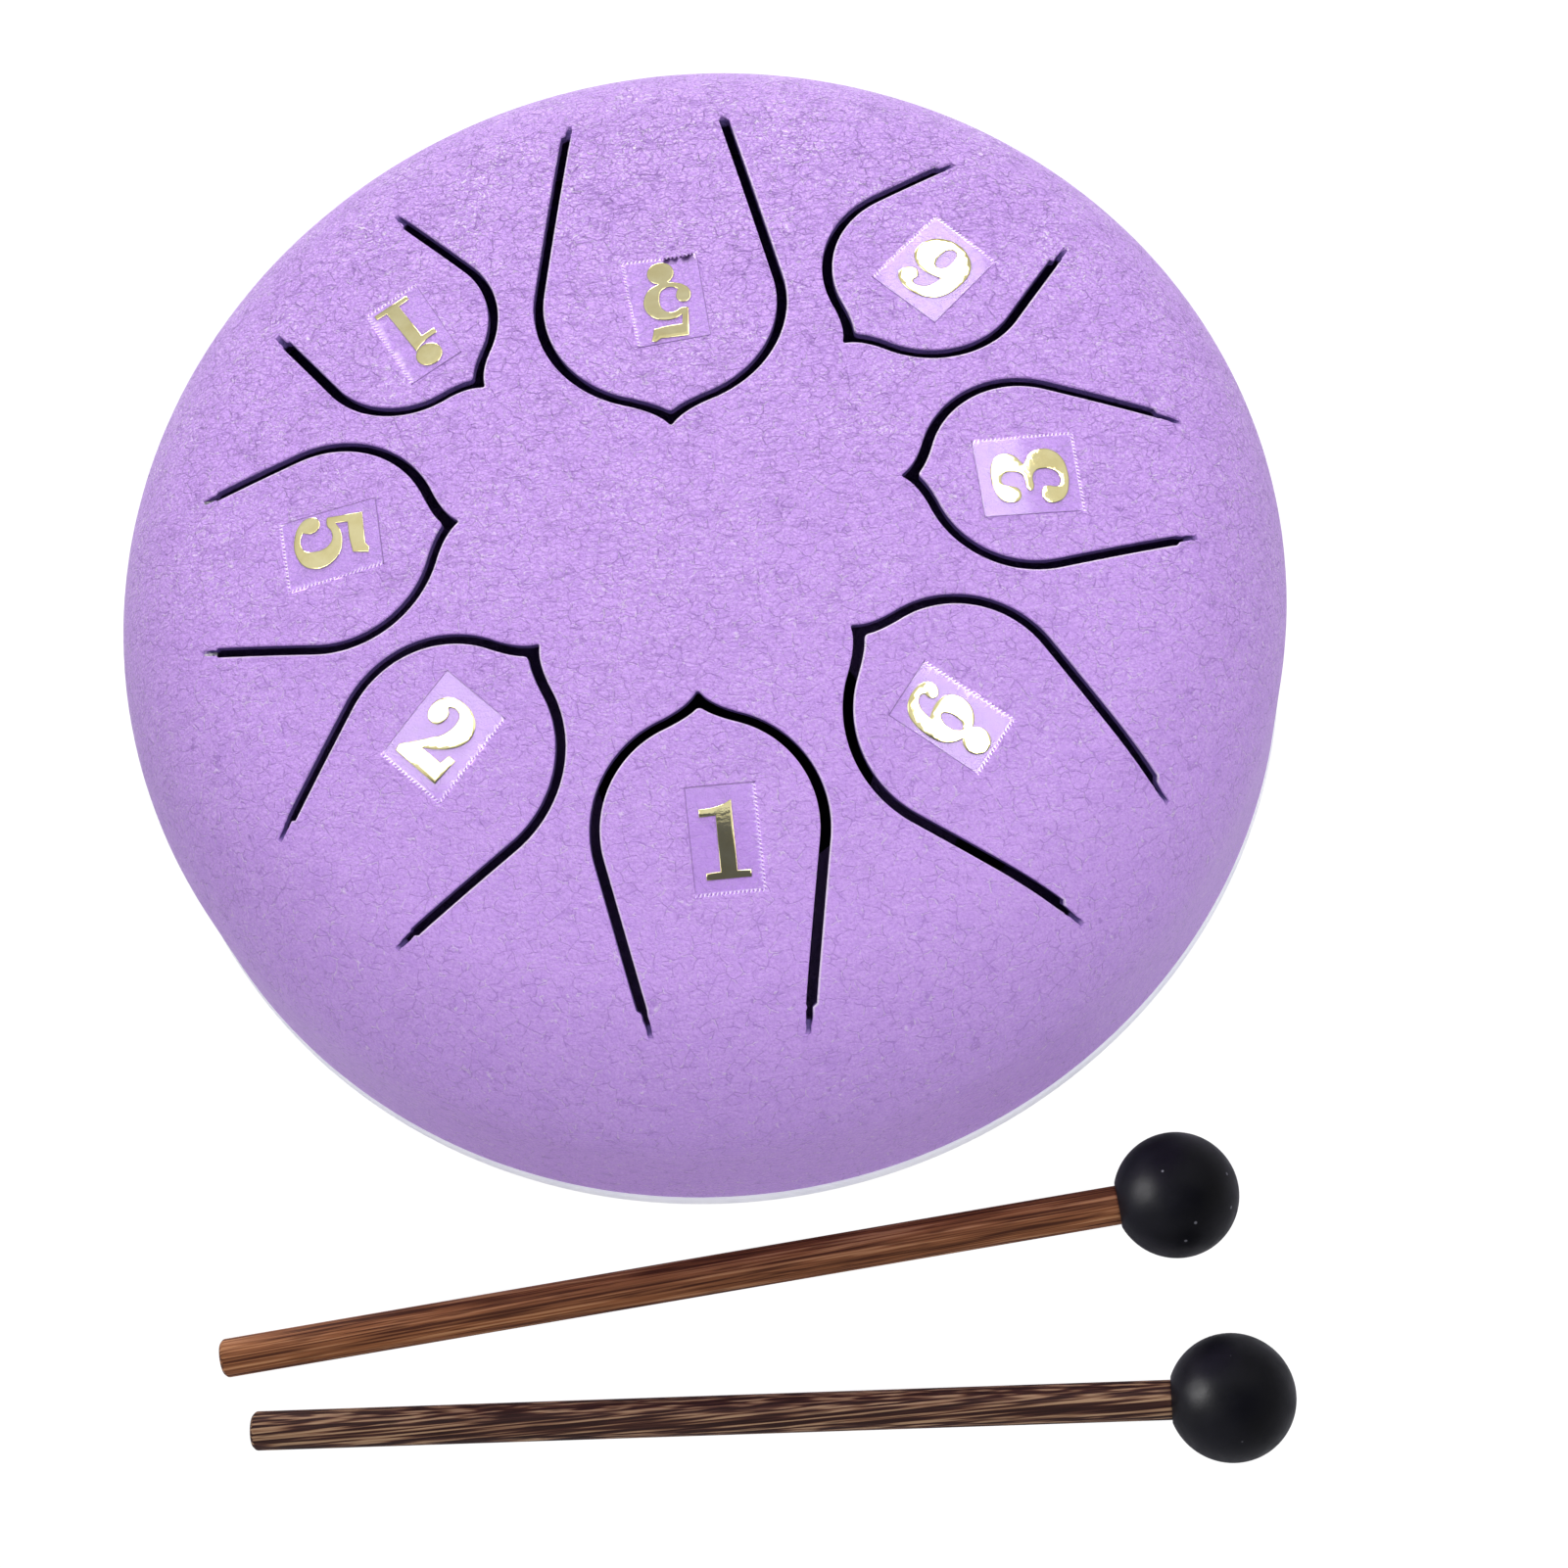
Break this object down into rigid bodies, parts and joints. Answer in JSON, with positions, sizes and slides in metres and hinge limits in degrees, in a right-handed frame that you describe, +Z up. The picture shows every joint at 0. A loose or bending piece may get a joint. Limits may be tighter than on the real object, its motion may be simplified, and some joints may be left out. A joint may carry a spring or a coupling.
{
  "type": "tongue drum",
  "caption": "Small steel tongue drum: domed shell slit into petal-shaped tongues, dished base with a sound hole and rubber feet, with loose ball-headed wooden mallets.",
  "frame": {"origin": "on the table, under the middle of the box of the whole set, drum and mallets together", "axes": "+Z up; +Y from the player across the drum towards the lowest tongue; +X to the player's right, along the mallets"},
  "size_m": [0.157, 0.1898, 0.089],
  "materials": {
    "paint": "fine leather-grain satin paint, lilac",
    "ring": "pale translucent silicone, satin",
    "film": "clear film with gold foil numeral",
    "foot_rubber": "matte black rubber",
    "head_rubber": "matte black rubber",
    "reddish_wood": "oiled straight grain, reddish brown",
    "dark_wood": "oiled striped grain, dark brown"
  },
  "bodies": {
    "drum": {"upper_shell": "paint", "lower_shell": "paint", "seam_ring": "ring", "foot_1": "foot_rubber", "foot_2": "foot_rubber", "foot_3": "foot_rubber", "note_film_low_5": "film", "note_film_6": "film", "note_film_3": "film", "note_film_low_6": "film", "note_film_1": "film", "note_film_2": "film", "note_film_5": "film", "note_film_high_1": "film"},
    "mallet_1": {"mallet_stick_1": "reddish_wood", "mallet_head_1": "head_rubber"},
    "mallet_2": {"mallet_stick_2": "dark_wood", "mallet_head_2": "head_rubber"}
  },
  "joints": [
    {"name": "mallet_1_lift", "type": "slide", "parent": "drum", "child": "mallet_1", "axis": [0, -0.5, 0.866], "range_m": [0, 0.15]},
    {"name": "mallet_2_lift", "type": "slide", "parent": "drum", "child": "mallet_2", "axis": [0, -0.5, 0.866], "range_m": [0, 0.15]}
  ]
}
